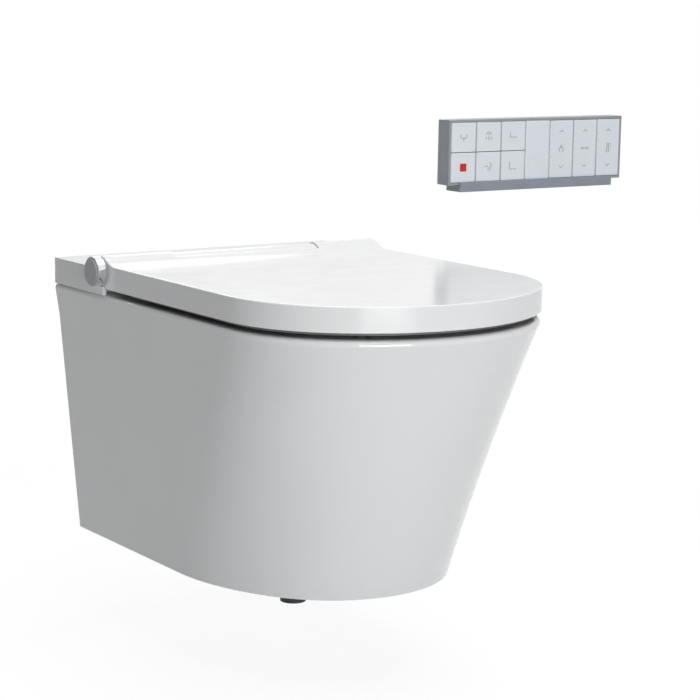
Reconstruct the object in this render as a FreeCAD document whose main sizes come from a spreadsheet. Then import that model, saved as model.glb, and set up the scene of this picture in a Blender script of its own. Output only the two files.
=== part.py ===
"""Wall-hung smart toilet with a heated seat, a side knob and a wall remote control.

Millimetres. The origin is half way between the two wall bolts, on the wall's face.
+X points to the right of someone facing the toilet, +Y into the wall and +Z up.
"""
import FreeCAD, Part
import math
import os
import re
import Sketcher

# Driving sizes. Every one has a cell of its own in the sheet "d".
SIZES = {
    # ceramic pan: plan outline at the rim and at the foot
    "width": 380.0, "depth": 550.0, "corner_r": 145.0, "nose_over": 27.0,
    "rim_z": 80.0, "ceramic_height": 301.0,
    "foot_half": 158.0, "foot_depth": 439.0, "foot_corner_r": 245.0, "foot_nose_r": 139.0,
    "knee_drop": 40.0, "knee_in": 2.0, "rim_round": 6.0, "ground": 2.0,
    "china": 11.0, "china_deck": 12.0, "back_web": 16.0,
    # basin inside the pan, at the rim, half way down and at the sump
    "rim_side": 62.0, "bowl_back": 187.0, "rim_front": 50.0,
    "bowl_back_r": 80.0, "bowl_corner_r": 100.0, "bowl_nose_over": 22.0,
    "mid_drop": 120.0, "mid_in": 24.0, "mid_back": 200.0, "mid_nose_in": 60.0,
    "mid_back_r": 70.0, "mid_corner_r": 80.0, "mid_nose_over": 21.0,
    "sump_drop": 220.0, "sump_half": 44.0, "sump_back": 232.0, "sump_front": 322.0,
    "sump_back_r": 30.0, "sump_corner_r": 36.0, "sump_nose_over": 16.0, "bowl_wall": 9.0,
    # trapway, waste spigot, flush inlet and wall bolts
    "trap_r": 26.0, "trap_wall": 7.0, "trap_front": 270.0, "dip_r": 35.0, "trap_start": 6.0,
    "weir_r": 37.0, "waste_drop": 100.0, "spigot_r": 51.0, "spigot_wall": 7.0, "spigot_long": 50.0,
    "inlet_rise": 35.0, "inlet_r": 27.5, "inlet_long": 55.0, "seal_short": 5.0, "inlet_wall": 9.0,
    "channel_r": 18.0, "channel_rise": 22.0, "flush_bore_r": 22.5,
    "bolt_spacing": 180.0, "bolt_hole_r": 10.0, "boss_r": 22.0, "boss_long": 45.0,
    "stud_hole_r": 6.5, "sleeve_long": 40.0, "fit_gap": 0.1,
    "window_half": 118.0, "window_low": 25.0, "window_top": 44.0,
    # recess in the rear of the rim for the wash nozzle and the warm air duct
    "recess_half": 52.0, "recess_back": 98.0, "recess_deep": 22.0, "recess_floor": 13.0,
    # rubber plugs under the pan
    "plug_x": 92.0, "plug_in": 67.0, "plug_r": 14.0, "plug_deep": 8.0, "plug_stem_r": 8.0,
    # hinge line, hubs of the lid and fixed barrel of the housing
    "hinge_back": 114.0, "hinge_rise": 27.4, "hub_r": 17.0, "ramp_r": 45.0,
    "barrel_half": 99.0, "barrel_r": 15.6, "hub_gap": 1.0, "notch_gap": 0.8,
    "pin_r": 6.0, "pin_gap": 0.05, "pin_hold": 9.0, "blind_end": 3.0, "blind_gap": 0.2, "tube_gap": 0.08,
    # rear housing on the ceramic deck
    "wall_gap": 1.0, "deck_rise": 30.0, "cheek_front": 120.0, "cheek": 4.5, "shell_wall": 3.0,
    "deck_front": 95.0, "nose_front": 165.0, "nose_low": 18.0, "nose_high": 24.0, "nose_bend": 150.0,
    "tray": 3.2, "tray_gap": 0.5, "tray_lap": 1.0, "screw_gap": 8.0, "screw_y": 84.0, "screw_r": 2.9,
    "screw_head_r": 5.0, "screw_head": 3.0, "screw_deep": 6.0, "mouth_gap": 1.5, "mouth_high": 9.0,
    # lid
    "lid_inset": 1.5, "lid_gap": 7.6, "lid_side": 27.0, "lid_wall": 3.0, "lid_top": 3.2, "lid_edge": 1.6,
    "lid_side_back": 122.0, "lid_hollow_back": 134.0, "notch_front": 128.0,
    "liner": 2.0, "liner_back": 138.0, "liner_gap": 0.4,
    "lug_off": 13.0, "lug_long": 34.0, "slot_r": 14.5, "lid_damper_r": 11.0, "damper_wall": 6.5, "damper_gap": 1.0,
    # seat
    "seat_inset": 9.0, "seat_back": 172.0, "seat_low": 4.0, "seat_base": 4.0, "seat_high": 25.0,
    "seat_skin": 3.0, "seat_roof": 5.0, "ring_side": 84.0, "ring_back": 246.0, "ring_nose": 74.0,
    "ring_back_r": 70.0, "ring_corner_r": 84.0, "ring_nose_over": 14.0,
    "lug_r": 12.5, "lug_gap": 1.0, "seat_damper_r": 9.5, "seat_damper_in": 14.0,
    "foil": 0.6, "foil_inset": 14.0, "bumper_r": 8.0, "bumper_gap": 0.3,
    "bumper_in": 42.0, "bumper_back": 302.0, "bumper_front_x": 95.0, "bumper_nose": 55.0,
    # side knob
    "knob_gap": 3.2, "knob_long": 9.5, "knob_cap": 1.5, "knob_rim": 2.6, "spindle_r": 3.0,
    "knob_bevel": 1.2, "cap_gap": 0.3, "encoder_long": 18.0, "encoder_half": 8.4, "encoder_gap": 0.3,
    "encoder_end": 3.0, "spindle_end": 5.0,
    # wash nozzle
    "nozzle_tilt": 12.0, "nozzle_y": 184.0, "nozzle_z": 6.0, "nozzle_r": 6.5, "nozzle_long": 84.0,
    "tip_r": 7.0, "tip_long": 16.0, "guide_half": 8.5, "guide_long": 78.0, "guide_end": 22.0,
    "nozzle_gap": 0.1, "jet_r": 0.8, "jet_first": 3.0, "jet_pitch": 3.0, "roller_r": 6.0, "roller_high": 8.0,
    "roller_back": 86.0, "roller_gap": 0.5, "motor_gap": 0.6, "motor_r": 4.0, "motor_high": 6.5,
    # warm air dryer
    "blower_gap": 25.0, "blower_y": 54.0, "blower_r": 29.0, "blower_high": 21.0, "thin": 2.0, "blade": 1.0,
    "rotor_gap": 2.0, "duct_x": 34.0, "duct_wide": 26.0, "duct_high": 14.0, "duct_long": 92.0,
    "duct_y": 82.0, "duct_z": 13.0, "duct_wall": 1.5, "flap": 1.6, "flap_gap": 0.5,
    "heater_long": 24.0, "heater_start": 4.0, "heater_gap": 0.5,
    # deodoriser
    "fan_gap": 4.0, "fan_y": 50.0, "fan_r": 21.0, "fan_high": 19.0, "filter_side": 7.0, "filter_wide": 16.0,
    # boxes of the water and power units
    "unit_low": 4.0, "tank_gap": 18.0, "tank_wide": 54.0, "tank_deep": 62.0, "tank_high": 21.0,
    "unit_back": 12.0, "valve_gap": 10.0, "valve_wide": 28.0, "valve_deep": 34.0, "valve_high": 20.0,
    "pump_side": 9.0, "pump_wide": 28.0, "pump_deep": 46.0, "pump_high": 19.0,
    "power_side": 5.0, "power_wide": 78.0, "power_y": 64.0, "power_deep": 26.0, "power_high": 19.0,
    "board_left": 7.0, "board_right": 12.0, "board_y": 70.0, "board_z": 8.0, "board": 1.6,
    "thread_r": 10.48, "supply_gap": 4.0, "thread_rise": 15.0, "thread_bore_r": 7.0,
    # remote control on the wall
    "remote_x": 520.0, "remote_z": 218.0, "remote_wide": 300.0, "remote_high": 86.0,
    "remote_gap": 0.3, "remote_back": 15.0, "remote_front": 9.0, "remote_wall": 2.0, "face": 2.5,
    "frame": 3.5, "columns": 7.0, "rib": 1.2, "key_gap": 0.4, "key_proud": 0.6,
    "key_deep": 8.6, "row_gap": 0.9, "rocker_gap": 0.3, "board_in": 2.0, "remote_board": 1.6, "board_back": 12.9,
    "cell_r": 5.2, "cell_long": 44.5, "cell_low": 8.0, "cell_gap": 2.0, "cell_back": 7.4,
    "bay_half": 28.0, "bay_low": 34.0, "bay_top": 6.0, "bay_cover": 1.6, "bay_gap": 0.3,
    "holder": 3.0, "holder_half": 132.0, "holder_top": 30.0, "shelf": 8.5, "shelf_gap": 0.5,
    "lip": 2.5, "lip_high": 4.0, "lip_gap": 0.5, "holder_hole_x": 80.0, "holder_hole_r": 2.2,
}

doc = FreeCAD.newDocument("smart_toilet")
sheet = doc.addObject("Spreadsheet::Sheet", "d")
for row, (size_name, size_value) in enumerate(SIZES.items(), 1):
    sheet.set("A%d" % row, size_name)
    sheet.set("B%d" % row, str(size_value))
    sheet.setAlias("B%d" % row, size_name)
doc.recompute()

NODES = []


def ex(text):
    """The expression with each size name turned into its cell."""
    return re.sub(r"[a-z]\w*", lambda m: "d." + m.group() if m.group() in SIZES else m.group(), text)


def num(text):
    """The present value of an expression."""
    return float(sheet.evalExpression(ex(text)))


def keep(label, shape_object):
    """Names a finished sub-part."""
    shape_object.Label = label
    NODES.append(shape_object)
    return shape_object


def bind(target, **expressions):
    """Binds properties to expressions; two underscores stand for the dot in a property's path."""
    for name, text in expressions.items():
        target.setExpression(name.replace("__", "."), ex(text))


def at(target, x="0", y="0", z="0"):
    """Places an object; the three coordinates are expressions."""
    target.setExpression("Placement.Base.x", ex(x))
    target.setExpression("Placement.Base.y", ex(y))
    target.setExpression("Placement.Base.z", ex(z))
    return target


# ---------------------------------------------------------------- primitives and booleans

def box(x, y, z):
    """Box between pairs of expressions (low, high)."""
    item = doc.addObject("Part::Box", "box")
    bind(item, Length=f"({x[1]}) - ({x[0]})", Width=f"({y[1]}) - ({y[0]})", Height=f"({z[1]}) - ({z[0]})")
    return at(item, x[0], y[0], z[0])


TURN = {
    "x": FreeCAD.Rotation(FreeCAD.Vector(0, 1, 0), 90),
    "y": FreeCAD.Rotation(FreeCAD.Vector(1, 0, 0), -90),
    "z": FreeCAD.Rotation(),
}


def rod(axis, radius, span, u, v):
    """Cylinder along an axis from span[0] to span[1]; u and v are its other two coordinates."""
    item = doc.addObject("Part::Cylinder", "rod")
    bind(item, Radius=radius, Height=f"({span[1]}) - ({span[0]})")
    item.Placement = FreeCAD.Placement(FreeCAD.Vector(), TURN[axis])
    place = {"x": (span[0], u, v), "y": (u, span[0], v), "z": (u, v, span[0])}[axis]
    return at(item, *place)


def cut(base, *tools):
    for tool in tools:
        item = doc.addObject("Part::Cut", "cut")
        item.Base = base
        item.Tool = tool
        base = item
    return base


def join(*shapes):
    item = doc.addObject("Part::MultiFuse", "join")
    item.Shapes = list(shapes)
    return item


def tube(axis, outer, inner, span, u, v):
    longer = (f"({span[0]}) - 1", f"({span[1]}) + 1")
    return cut(rod(axis, outer, span, u, v), rod(axis, inner, longer, u, v))


def tilted(item, x, y, z, along="0"):
    """Lays an object made along +Z, from the origin, on the nozzle's downward slope."""
    item.Placement = FreeCAD.Placement(FreeCAD.Vector(), FreeCAD.Rotation(FreeCAD.Vector(1, 0, 0), 90))
    item.setExpression("Placement.Rotation.Angle", ex("90 + nozzle_tilt"))
    return at(item, x, f"({y}) - ({along}) * cos(nozzle_tilt * 1 deg)",
              f"({z}) - ({along}) * sin(nozzle_tilt * 1 deg)")


# ---------------------------------------------------------------- sketched bodies

def new_body(name):
    return doc.addObject("PartDesign::Body", name)


def sketch_on(body, role, offset):
    item = body.newObject("Sketcher::SketchObject", body.Name + "_sketch")
    planes = [feature for feature in body.Origin.OriginFeatures if feature.Role == role]
    item.AttachmentSupport = [(planes[0], "")]
    item.MapMode = "FlatFace"
    item.setExpression("AttachmentOffset.Base.z", ex(offset))
    return item


def hold_point(sketch, geometry, end, u, v):
    """Fixes one point of a sketch at two expressions."""
    for axis_id, kind, text in ((-2, "DistanceX", u), (-1, "DistanceY", v)):
        value = num(text)
        if text.strip() == "0":
            sketch.addConstraint(Sketcher.Constraint("PointOnObject", geometry, end, axis_id))
        else:
            index = sketch.addConstraint(Sketcher.Constraint(kind, -1, 1, geometry, end, value))
            sketch.setExpression("Constraints[%d]" % index, ex(text))


def add_edge(sketch, start, stop, arc=None):
    """Line or arc between two points; gives its index and the positions of its two ends."""
    if arc is None:
        return sketch.addGeometry(Part.LineSegment(start, stop)), 1, 2
    radius_text, side = arc
    radius = num(radius_text)
    chord = stop.sub(start)
    left = FreeCAD.Vector(-chord.y, chord.x, 0).normalize()
    rise = math.sqrt(max(radius ** 2 - (chord.Length / 2) ** 2, 0.0))
    centre = (start + stop) * 0.5 + left * (rise * side)
    first, last = (start, stop) if side > 0 else (stop, start)
    from_angle = math.atan2(first.y - centre.y, first.x - centre.x)
    to_angle = math.atan2(last.y - centre.y, last.x - centre.x)
    if to_angle < from_angle:
        to_angle += 2 * math.pi
    circle = Part.Circle(centre, FreeCAD.Vector(0, 0, 1), radius)
    geometry = sketch.addGeometry(Part.ArcOfCircle(circle, from_angle, to_angle))
    place = sketch.addConstraint(Sketcher.Constraint("Radius", geometry, radius))
    sketch.setExpression("Constraints[%d]" % place, ex(radius_text))
    return (geometry, 1, 2) if side > 0 else (geometry, 2, 1)


def trace(sketch, points, arcs=None, closed=True):
    """Outline through points. arcs maps an edge's index to (radius, side): +1 turns left, -1 right."""
    arcs = arcs or {}
    where = [FreeCAD.Vector(num(u), num(v), 0) for u, v in points]
    count = len(points) if closed else len(points) - 1
    ends = [add_edge(sketch, where[i], where[(i + 1) % len(where)], arcs.get(i)) for i in range(count)]
    for index in range(count):
        geometry, start_end, _ = ends[index]
        hold_point(sketch, geometry, start_end, *points[index])
        if index or closed:
            before, _, before_end = ends[index - 1]
            sketch.addConstraint(Sketcher.Constraint("Coincident", geometry, start_end, before, before_end))
    if not closed:
        geometry, _, stop_end = ends[-1]
        hold_point(sketch, geometry, stop_end, *points[-1])
    return sketch


def ring(sketch, radius, u, v):
    """Circle in a sketch."""
    centre = FreeCAD.Vector(num(u), num(v), 0)
    geometry = sketch.addGeometry(Part.Circle(centre, FreeCAD.Vector(0, 0, 1), num(radius)))
    place = sketch.addConstraint(Sketcher.Constraint("Radius", geometry, num(radius)))
    sketch.setExpression("Constraints[%d]" % place, ex(radius))
    hold_point(sketch, geometry, 3, u, v)
    return sketch


def rectangle(sketch, u, v):
    return trace(sketch, [(u[0], v[0]), (u[1], v[0]), (u[1], v[1]), (u[0], v[1])])


def extrude(body, kind, sketch, length, forward=True):
    """Pad or Pocket; forward means along the sketch's normal."""
    item = body.newObject("PartDesign::" + kind, body.Name + "_" + kind.lower())
    item.Profile = sketch
    item.Reversed = forward if kind == "Pocket" else not forward
    item.setExpression("Length", ex(length))
    return item


def loft(body, kind, sketches):
    item = body.newObject("PartDesign::%sLoft" % kind, body.Name + "_loft")
    item.Profile = sketches[0]
    item.Sections = sketches[1:]
    item.Ruled = True
    return item


def pipe(body, kind, profile, spine):
    item = body.newObject("PartDesign::%sPipe" % kind, body.Name + "_pipe")
    item.Profile = profile
    item.Spine = spine
    return item


def fillet(body, radius, wanted):
    """Rounds the edges of the body's last feature for which wanted(edge) is true."""
    doc.recompute()
    base = body.Tip
    names = ["Edge%d" % (i + 1) for i, edge in enumerate(base.Shape.Edges) if wanted(edge)]
    item = body.newObject("PartDesign::Fillet", body.Name + "_fillet")
    item.Base = (base, names)
    item.setExpression("Radius", ex(radius))
    return item


def d_outline(half, back, front, corner, nose, back_r=None):
    """Points and arcs of a D-shaped plan: straight back and sides, three arcs round the front.

    back and front are distances from the wall. The corner arcs touch the sides and the nose arc.
    """
    lean = f"((({half}) - ({corner})) / (({nose}) - ({corner})))"
    rise = f"sqrt(1 - {lean} ^ 2)"
    nose_y = f"(({nose}) - ({front}))"
    side_y = f"{nose_y} - (({nose}) - ({corner})) * {rise}"
    touch_x = f"({nose}) * {lean}"
    touch_y = f"{nose_y} - ({nose}) * {rise}"
    right = [(half, side_y), (touch_x, touch_y)]
    left = [(f"-({touch_x})", touch_y), (f"-({half})", side_y)]
    if back_r is None:
        points = [(f"-({half})", f"-({back})"), (half, f"-({back})")] + right + left
        arcs = {2: (corner, -1), 3: (nose, -1), 4: (corner, -1)}
        return points, arcs
    inner = f"({half}) - ({back_r})"
    points = [(f"-({inner})", f"-({back})"), (inner, f"-({back})"), (half, f"-({back}) - ({back_r})")]
    points += right + left + [(f"-({half})", f"-({back}) - ({back_r})")]
    arcs = {1: (back_r, -1), 3: (corner, -1), 4: (nose, -1), 5: (corner, -1), 7: (back_r, -1)}
    return points, arcs


def plan(body, height, outline):
    """Plan outline on a horizontal plane."""
    return trace(sketch_on(body, "XY_Plane", height), *outline)


# Heights and lines that several pieces share.
TOP = "rim_z"
BOTTOM = "(rim_z - ceramic_height)"
AXIS_Y = "(-hinge_back)"
AXIS_Z = "(rim_z + hinge_rise)"
DECK_Z = "(rim_z + deck_rise)"
LID_LOW = "(rim_z + lid_gap)"
LID_TOP = "(rim_z + lid_gap + lid_side)"
NOSE_R = "(width / 2 + nose_over)"
HUB_END = "(width / 2 - lid_inset)"
PIN_INNER = "(barrel_half - pin_hold)"
LUG_FROM = "(barrel_half + lug_off)"
LUG_TO = "(barrel_half + lug_off + lug_long)"
UNIT_Z = "(rim_z + unit_low)"

# Places across the housing, from its side walls inwards.
INSIDE = "(width / 2 - shell_wall)"
PUMP_X = f"({INSIDE} - pump_side - pump_wide)"
VALVE_X = f"({PUMP_X} - valve_gap - valve_wide)"
TANK_X = f"({VALVE_X} - tank_gap - tank_wide)"
POWER_X = f"({INSIDE} - power_side - power_wide)"
SCREW_X = f"({POWER_X} - screw_gap)"
FILTER_X = f"({INSIDE} - filter_side - filter_wide)"
FAN_X = f"({FILTER_X} - fan_gap - fan_r)"
BLOWER_X = f"({FAN_X} - fan_r - blower_gap - blower_r)"

# ---------------------------------------------------------------- ceramic pan

skirt = new_body("ceramic_skirt")
foot = plan(skirt, BOTTOM, d_outline("foot_half", "-ground", "foot_depth", "foot_corner_r", "foot_nose_r"))
KNEE = "knee_drop / ceramic_height"
knee = plan(skirt, "rim_z - knee_drop", d_outline(
    f"width / 2 - (width / 2 - foot_half) * {KNEE} - knee_in", "-ground",
    f"depth - (depth - foot_depth) * {KNEE} - knee_in",
    f"corner_r + (foot_corner_r - corner_r) * {KNEE}", f"{NOSE_R} + (foot_nose_r - {NOSE_R}) * {KNEE}"))
rim = plan(skirt, TOP, d_outline("width / 2", "-ground", "depth", "corner_r", NOSE_R))
loft(skirt, "Additive", [foot, knee, rim])
ground_face = rectangle(sketch_on(skirt, "XZ_Plane", "-ground"), ("-width", "width"), ("-depth", "depth"))
extrude(skirt, "Pocket", ground_face, "ground")
DECK_OUTLINE = d_outline("width / 2 - china", "back_web", "depth - china", "corner_r - china", f"{NOSE_R} - china")
hollow_low = plan(skirt, f"{BOTTOM} + china_deck", d_outline(
    "foot_half - china", "back_web", "foot_depth - china", "foot_corner_r - china", "foot_nose_r - china"))
hollow_top = plan(skirt, "rim_z - china_deck", DECK_OUTLINE)
loft(skirt, "Subtractive", [hollow_low, hollow_top])
extrude(skirt, "Pocket", plan(skirt, TOP, DECK_OUTLINE), "china_deck", forward=False)
for side in (-1, 1):
    boss = sketch_on(skirt, "XZ_Plane", "back_web / 2")
    extrude(skirt, "Pad", ring(boss, "boss_r", f"{side} * bolt_spacing / 2", "0"), "boss_long - back_web / 2")
for side in (-1, 1):
    hole = ring(sketch_on(skirt, "XZ_Plane", "0"), "bolt_hole_r", f"{side} * bolt_spacing / 2", "0")
    extrude(skirt, "Pocket", hole, "boss_long")
window = rectangle(sketch_on(skirt, "XZ_Plane", "0"), ("-window_half", "window_half"),
                   (f"{BOTTOM} + window_low", "-window_top"))
extrude(skirt, "Pocket", window, "back_web")
inlet_way = ring(sketch_on(skirt, "XZ_Plane", "0"), "inlet_r + inlet_wall", "0", "inlet_rise")
extrude(skirt, "Pocket", inlet_way, "back_web")
PLUG_Y = "-(foot_depth - plug_in)"
for side in (-1, 1):
    stem = ring(sketch_on(skirt, "XY_Plane", BOTTOM), "plug_stem_r", f"{side} * plug_x", PLUG_Y)
    extrude(skirt, "Pocket", stem, "china_deck")

bowl = new_body("ceramic_bowl")
BASIN = (("rim_z - sump_drop", "sump_half", "sump_back", "sump_front", "sump"),
         ("rim_z - mid_drop", "width / 2 - rim_side - mid_in", "mid_back", "depth - rim_front - mid_nose_in", "mid"),
         ("rim_z", "width / 2 - rim_side", "bowl_back", "depth - rim_front", "bowl"))


def basin(extra):
    """The three plan outlines of the basin, grown by a wall thickness, which also lowers the floor."""
    levels = []
    for height, half, back, front, name in BASIN:
        outline = d_outline(f"{half} + {extra}", f"{back} - {extra}", f"{front} + {extra}",
                            f"{name}_corner_r + {extra}", f"{half} + {name}_nose_over + {extra}",
                            f"{name}_back_r + {extra}")
        levels.append(plan(bowl, f"{height} - {extra}" if name == "sump" else height, outline))
    return levels


extrude(bowl, "Pad", plan(bowl, "rim_z - china_deck", DECK_OUTLINE), "china_deck")
loft(bowl, "Additive", basin("bowl_wall"))
block = rectangle(sketch_on(bowl, "XY_Plane", "rim_z - china_deck"),
                  ("-recess_half - china_deck", "recess_half + china_deck"),
                  ("-bowl_back - china_deck", "-recess_back + china_deck"))
extrude(bowl, "Pad", block, "recess_deep + recess_floor - china_deck", forward=False)


def trap_spine():
    """Centre line of the trapway in the YZ plane: down, under the dip and over the weir."""
    dip_z = "(-waste_drop - weir_r)"
    weir_y = "(-trap_front + 2 * dip_r)"
    points = [("-trap_front", "rim_z - sump_drop + trap_start"), ("-trap_front", dip_z),
              ("-trap_front + dip_r", f"{dip_z} - dip_r"), (weir_y, dip_z), (f"{weir_y} + weir_r", "-waste_drop"),
              ("-spigot_long + trap_wall", "-waste_drop")]
    bends = {1: ("dip_r", 1), 2: ("dip_r", 1), 3: ("weir_r", -1)}
    return trace(sketch_on(bowl, "YZ_Plane", "0"), points, bends, closed=False)


def trap_profile(radius):
    return ring(sketch_on(bowl, "XY_Plane", "rim_z - sump_drop + trap_start"), radius, "0", "-trap_front")


pipe(bowl, "Additive", trap_profile("trap_r + trap_wall"), trap_spine())
extrude(bowl, "Pad", ring(sketch_on(bowl, "XZ_Plane", "0"), "spigot_r", "0", "-waste_drop"), "spigot_long")
extrude(bowl, "Pad", ring(sketch_on(bowl, "XZ_Plane", "0"), "inlet_r + inlet_wall", "0", "inlet_rise"),
        "inlet_long + inlet_wall")
extrude(bowl, "Pad", ring(sketch_on(bowl, "XZ_Plane", "inlet_long"), "channel_r + inlet_wall", "0",
                          "channel_rise"), "bowl_back - inlet_long")
loft(bowl, "Subtractive", basin("0"))
recess = rectangle(sketch_on(bowl, "XY_Plane", TOP), ("-recess_half", "recess_half"),
                   ("-bowl_back - bowl_wall", "-recess_back"))
extrude(bowl, "Pocket", recess, "recess_deep", forward=False)
pipe(bowl, "Subtractive", trap_profile("trap_r"), trap_spine())
extrude(bowl, "Pocket", ring(sketch_on(bowl, "XZ_Plane", "0"), "spigot_r - spigot_wall", "0", "-waste_drop"),
        "spigot_long - spigot_wall")
extrude(bowl, "Pocket", ring(sketch_on(bowl, "XZ_Plane", "0"), "inlet_r", "0", "inlet_rise"), "inlet_long")
extrude(bowl, "Pocket", ring(sketch_on(bowl, "XZ_Plane", "inlet_long - 1"), "channel_r", "0", "channel_rise"),
        "mid_back - inlet_long + 1")
for side in (-1, 1):
    hole = ring(sketch_on(bowl, "XY_Plane", TOP), "screw_r + fit_gap", f"{side} * {SCREW_X}", "-screw_y")
    extrude(bowl, "Pocket", hole, "china_deck", forward=False)
keep("ceramic_bowl", bowl)


def on_rim_edge(edge):
    """True for the edges of the pan's outer outline at the rim, apart from the one on the wall."""
    half, front, corner, nose = (num(name) for name in ("width / 2", "depth", "corner_r", NOSE_R))
    lean = (half - corner) / (nose - corner)
    centre_y = nose - front - (nose - corner) * math.sqrt(1 - lean ** 2)
    box_ = edge.BoundBox
    level = abs(box_.ZMin - num(TOP)) < 0.01 and abs(box_.ZMax - num(TOP)) < 0.01
    middle = edge.valueAt((edge.FirstParameter + edge.LastParameter) / 2)
    from_corner = math.hypot(abs(middle.x) - (half - corner), middle.y - centre_y)
    outside = min(abs(abs(middle.x) - half), abs(middle.y + front), abs(from_corner - corner)) < 0.5
    return level and outside and box_.YMin < -0.01


fillet(skirt, "rim_round", on_rim_edge)
keep("ceramic_skirt", skirt)

plug_side = []
for side in (-1, 1):
    head = rod("z", "plug_r", (f"{BOTTOM} - plug_deep", BOTTOM), f"{side} * plug_x", PLUG_Y)
    stem = rod("z", "plug_stem_r", (BOTTOM, f"{BOTTOM} + china_deck"), f"{side} * plug_x", PLUG_Y)
    plug_side.append(join(head, stem))
keep("bottom_plugs", join(*plug_side))

sleeves = []
for side in (-1, 1):
    sleeves.append(tube("y", "bolt_hole_r", "stud_hole_r", ("-sleeve_long", "0"),
                        f"{side} * bolt_spacing / 2", "0"))
keep("fixing_sleeves", join(*sleeves))
keep("flush_seal", tube("y", "inlet_r", "flush_bore_r", ("-inlet_long + seal_short", "0"), "0", "inlet_rise"))

# ---------------------------------------------------------------- rear housing

housing = new_body("housing_shell")
deck = rectangle(sketch_on(housing, "YZ_Plane", "-width / 2"), ("-cheek_front", "-wall_gap"), (TOP, DECK_Z))
extrude(housing, "Pad", deck, "width")
relief = ring(sketch_on(housing, "YZ_Plane", "-width / 2"), "hub_r + hub_gap", AXIS_Y, AXIS_Z)
extrude(housing, "Pocket", relief, "width")
CHEEK = "width / 2 - cheek"
front_gap = rectangle(sketch_on(housing, "YZ_Plane", f"-({CHEEK})"), ("-cheek_front - 1", "-deck_front"),
                      ("rim_z - 1", f"{AXIS_Z} + 1"))
extrude(housing, "Pocket", front_gap, f"2 * ({CHEEK})")
inside = rectangle(sketch_on(housing, "XY_Plane", f"{DECK_Z} - shell_wall"),
                   ("-width / 2 + shell_wall", "width / 2 - shell_wall"),
                   ("-deck_front + shell_wall", "-wall_gap - shell_wall"))
extrude(housing, "Pocket", inside, "deck_rise - shell_wall + 1", forward=False)


def nose_outline(inset, back):
    """Side view of the fixed barrel and of the nose in front of it."""
    radius = f"(barrel_r - {inset})"
    drop = f"(deck_rise - {inset} - hinge_rise)"
    return [(back, TOP), (f"-nose_front + {inset}", TOP), (f"-nose_front + {inset}", f"rim_z + nose_low - {inset}"),
            ("-nose_bend", f"rim_z + nose_high - {inset}"), (f"{AXIS_Y} - {radius}", AXIS_Z),
            (AXIS_Y, f"{AXIS_Z} + {radius}"), (f"{AXIS_Y} + sqrt({radius} ^ 2 - {drop} ^ 2)",
                                              f"{DECK_Z} - {inset}"), (back, f"{DECK_Z} - {inset}")], {
        4: (radius, -1), 5: (radius, -1)}


barrel = trace(sketch_on(housing, "YZ_Plane", "-barrel_half"), *nose_outline("0", "-deck_front"))
extrude(housing, "Pad", barrel, "2 * barrel_half")
cavity = trace(sketch_on(housing, "YZ_Plane", "-barrel_half + shell_wall"),
               *nose_outline("shell_wall", "-deck_front + shell_wall"))
extrude(housing, "Pocket", cavity, "2 * (barrel_half - shell_wall)")
bore = ring(sketch_on(housing, "YZ_Plane", "-barrel_half - 1"), "pin_r", AXIS_Y, AXIS_Z)
extrude(housing, "Pocket", bore, "2 * barrel_half + 2")
MOUTH_Y = ("-nose_front - 1", "-nose_front + shell_wall + 1")
nozzle_mouth = rectangle(sketch_on(housing, "XY_Plane", TOP),
                         ("-guide_half - mouth_gap", "guide_half + mouth_gap"), MOUTH_Y)
extrude(housing, "Pocket", nozzle_mouth, "mouth_high")
DUCT_X = ("-duct_x - duct_wide / 2 - mouth_gap", "-duct_x + duct_wide / 2 + mouth_gap")
duct_mouth = rectangle(sketch_on(housing, "XY_Plane", TOP), DUCT_X, MOUTH_Y)
extrude(housing, "Pocket", duct_mouth, "mouth_high")
THREAD_X = f"{VALVE_X} + valve_wide / 2"
THREAD_Z = "rim_z + thread_rise"
supply = ring(sketch_on(housing, "XZ_Plane", "0"), "thread_r + supply_gap", THREAD_X, THREAD_Z)
extrude(housing, "Pocket", supply, "wall_gap + shell_wall + 1")
keep("housing_shell", housing)

TRAY_X = "width / 2 - shell_wall - tray_gap"
NOSE_X = "barrel_half - shell_wall - tray_gap"
tray_back = box((f"-({TRAY_X})", TRAY_X), ("-deck_front + shell_wall + tray_gap", "-wall_gap - shell_wall - tray_gap"),
                (TOP, "rim_z + tray"))
tray_nose = box((f"-({NOSE_X})", NOSE_X), ("-nose_front + shell_wall + tray_gap", "-deck_front + shell_wall + tray_gap + tray_lap"),
                (TOP, "rim_z + tray"))
tray_mouth = box(("-recess_half", "recess_half"), ("-nose_front", "-recess_back"), ("rim_z - 1", "rim_z + tray + 1"))
tray_duct = box(DUCT_X, ("-recess_back - 1", "-duct_y - duct_high / 2"), ("rim_z - 1", "rim_z + tray + 1"))
tray_holes = [rod("z", "screw_r + fit_gap", ("rim_z - 1", "rim_z + tray + 1"), f"{s} * {SCREW_X}", "-screw_y")
              for s in (-1, 1)]
keep("base_tray", cut(join(tray_back, tray_nose), tray_mouth, tray_duct, *tray_holes))
screws = []
for side in (-1, 1):
    spot = (f"{side} * {SCREW_X}", "-screw_y")
    shank = rod("z", "screw_r", ("rim_z - china_deck - screw_deep", "rim_z + tray"), *spot)
    head = rod("z", "screw_head_r", ("rim_z + tray", "rim_z + tray + screw_head"), *spot)
    screws.append(join(shank, head))
keep("tray_screws", join(*screws))

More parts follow.
